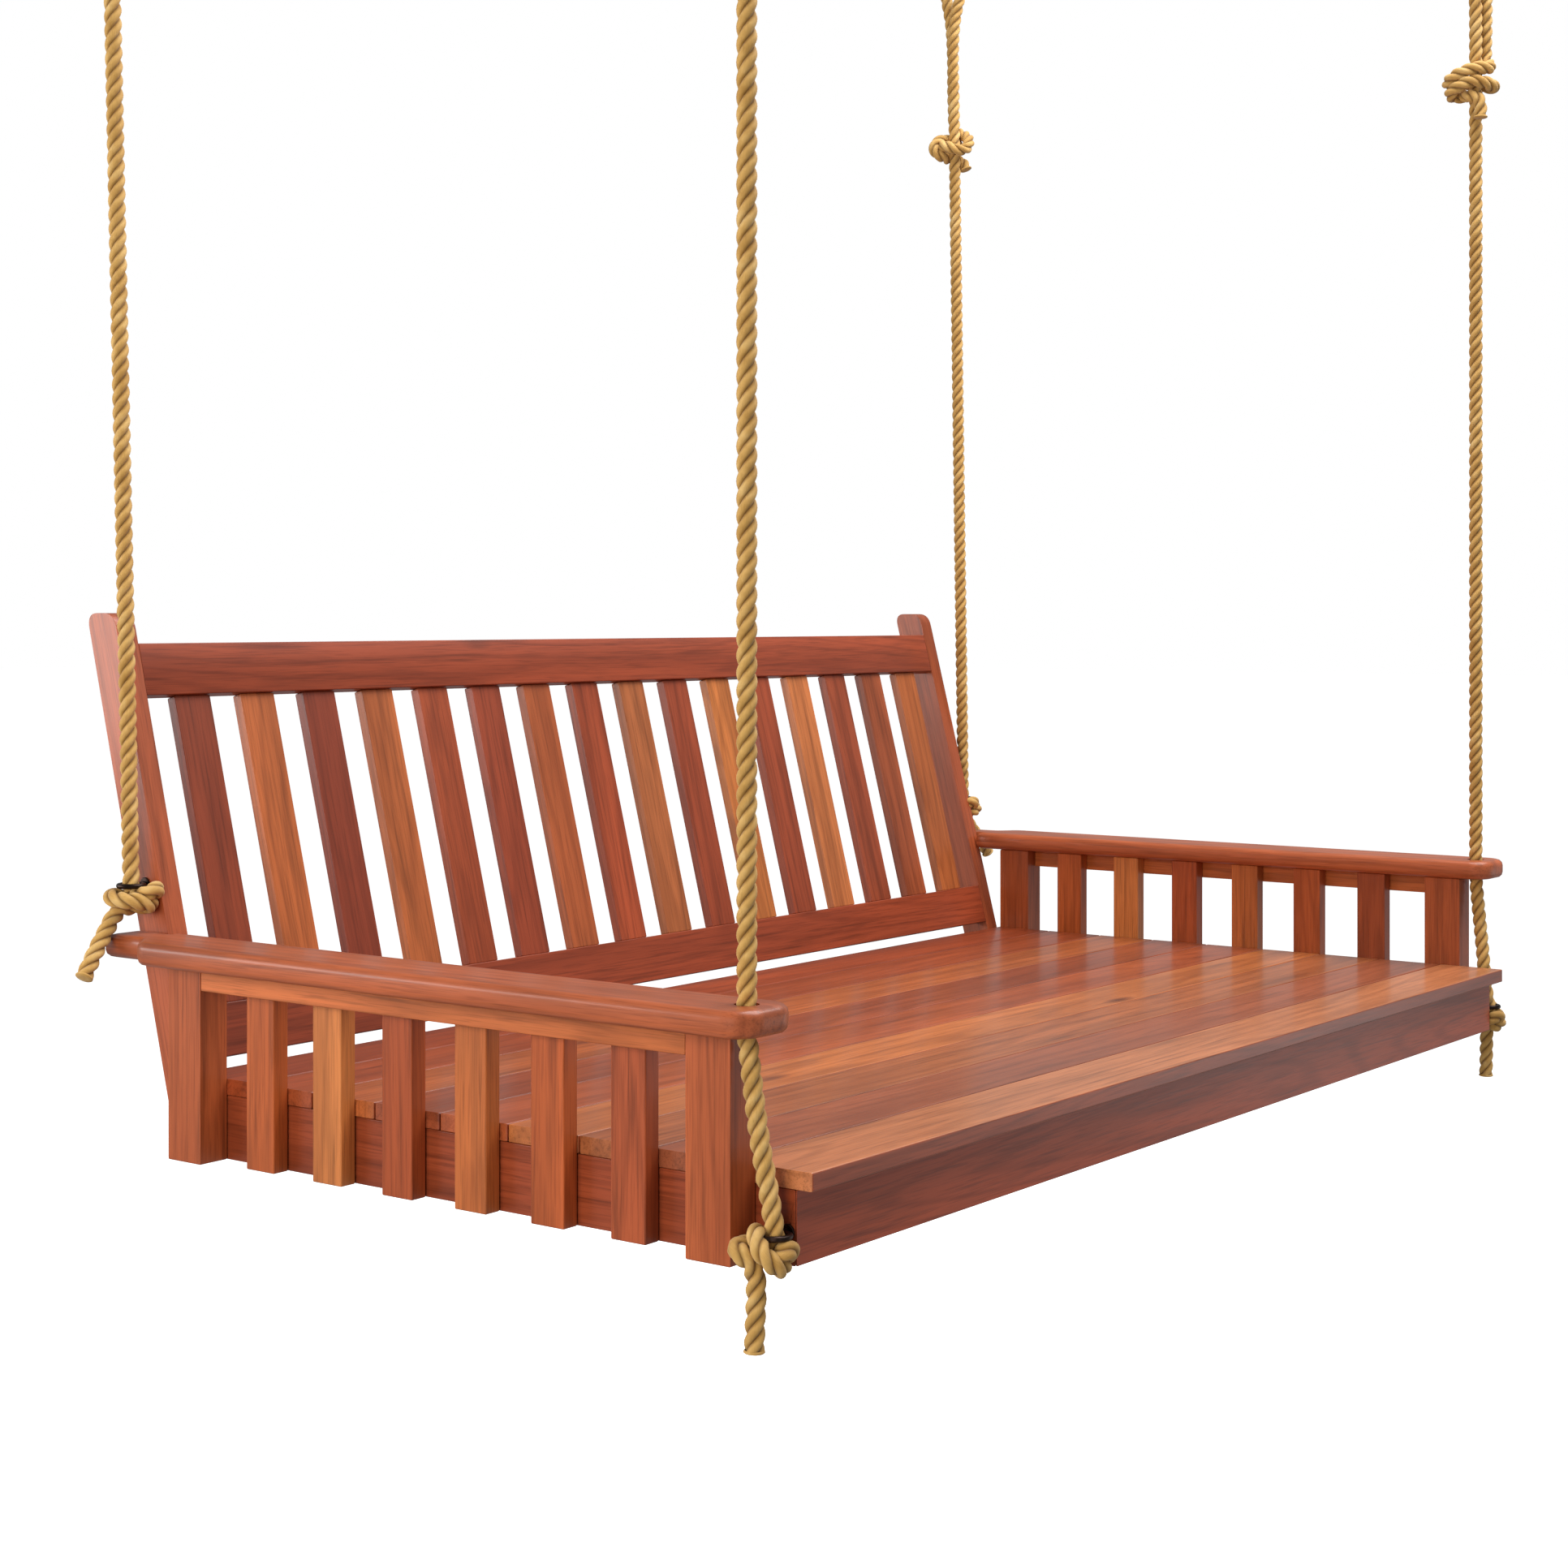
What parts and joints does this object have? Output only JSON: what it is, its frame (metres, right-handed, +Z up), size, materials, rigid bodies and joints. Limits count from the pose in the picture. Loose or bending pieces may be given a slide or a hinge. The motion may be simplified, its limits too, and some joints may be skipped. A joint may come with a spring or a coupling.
{
  "type": "porch swing",
  "caption": "Daybed porch swing of varnished cedar with slatted sides and a raked slatted back, hung from ceiling pads on knotted ropes.",
  "frame": {"origin": "ceiling plane, above the middle of the bed's width", "axes": "+X along the bed's width to the right as seen from the front, +Y to the back rest, +Z up"},
  "size_m": [2.1728, 1.2196, 2.1682],
  "materials": {
    "cedar_red": "satin varnish",
    "cedar_orange": "satin varnish",
    "cedar_brown": "satin varnish",
    "bronze": "dark oil-rubbed",
    "manila": "twisted three-strand fibre"
  },
  "bodies": {
    "ceiling": {"ceiling_pad_front_left": "bronze", "ceiling_pad_rear_left": "bronze", "ceiling_pad_front_right": "bronze", "ceiling_pad_rear_right": "bronze"},
    "front_left_rope": {"rope_front_left": "manila"},
    "bed": {"deck_board_1": "cedar_brown", "deck_board_2": "cedar_orange", "deck_board_3": "cedar_brown", "deck_board_4": "cedar_brown", "deck_board_5": "cedar_orange", "deck_board_6": "cedar_brown", "deck_board_7": "cedar_brown", "deck_board_8": "cedar_orange", "deck_board_9": "cedar_brown", "apron_front": "cedar_red", "apron_left": "cedar_red", "apron_right": "cedar_red", "apron_rear": "cedar_red", "joist_1": "cedar_brown", "joist_2": "cedar_brown", "joist_3": "cedar_brown", "back_rail_top": "cedar_red", "back_rail_low": "cedar_red", "back_slat_1": "cedar_red", "back_slat_2": "cedar_orange", "back_slat_3": "cedar_red", "back_slat_4": "cedar_orange", "back_slat_5": "cedar_red", "back_slat_6": "cedar_orange", "back_slat_7": "cedar_red", "back_slat_8": "cedar_orange", "back_slat_9": "cedar_red", "back_slat_10": "cedar_orange", "back_slat_11": "cedar_red", "back_slat_12": "cedar_orange", "back_slat_13": "cedar_red", "back_slat_14": "cedar_orange", "back_slat_15": "cedar_red", "back_slat_16": "cedar_orange", "post_front_left": "cedar_brown", "post_rear_left": "cedar_brown", "balusters_left": "cedar_orange", "arm_left": "cedar_brown", "back_stile_left": "cedar_brown", "eye_bolt_front_left": "bronze", "eye_bolt_rear_left": "bronze", "rope_front_left_lower": "manila", "rope_rear_left_lower": "manila", "post_front_right": "cedar_brown", "post_rear_right": "cedar_brown", "balusters_right": "cedar_orange", "arm_right": "cedar_brown", "back_stile_right": "cedar_brown", "eye_bolt_front_right": "bronze", "eye_bolt_rear_right": "bronze", "rope_front_right_lower": "manila", "rope_rear_right_lower": "manila"},
    "front_right_rope": {"rope_front_right": "manila"},
    "rear_left_rope": {"rope_rear_left": "manila"},
    "rear_right_rope": {"rope_rear_right": "manila"}
  },
  "joints": [
    {"name": "swing", "type": "hinge", "parent": "ceiling", "child": "front_left_rope", "pos_m": [-1.019, -0.5175, -0.079], "axis": [1, 0, 0], "range_deg": [-15, 15]},
    {"name": "bed_level", "type": "hinge", "parent": "front_left_rope", "child": "bed", "pos_m": [-1.019, -0.5175, -1.792], "axis": [1, 0, 0], "range_deg": [-15.8, 15.8]},
    {"name": "front_right_follow", "type": "hinge", "parent": "bed", "child": "front_right_rope", "pos_m": [1.019, -0.5175, -1.792], "axis": [1, 0, 0], "range_deg": [-15.8, 15.8]},
    {"name": "rear_left_follow", "type": "hinge", "parent": "bed", "child": "rear_left_rope", "pos_m": [-1.0072, 0.51396, -1.739], "axis": [1, 0, 0], "range_deg": [-16.3, 16.3]},
    {"name": "rear_right_follow", "type": "hinge", "parent": "bed", "child": "rear_right_rope", "pos_m": [1.0072, 0.51396, -1.739], "axis": [1, 0, 0], "range_deg": [-16.3, 16.3]}
  ],
  "couplings": [
    {"joint": "bed_level", "follows": "swing", "ratio": -1.0366},
    {"joint": "front_right_follow", "follows": "swing", "ratio": 1.0366},
    {"joint": "rear_left_follow", "follows": "swing", "ratio": 1.0702},
    {"joint": "rear_right_follow", "follows": "swing", "ratio": 1.0702}
  ]
}
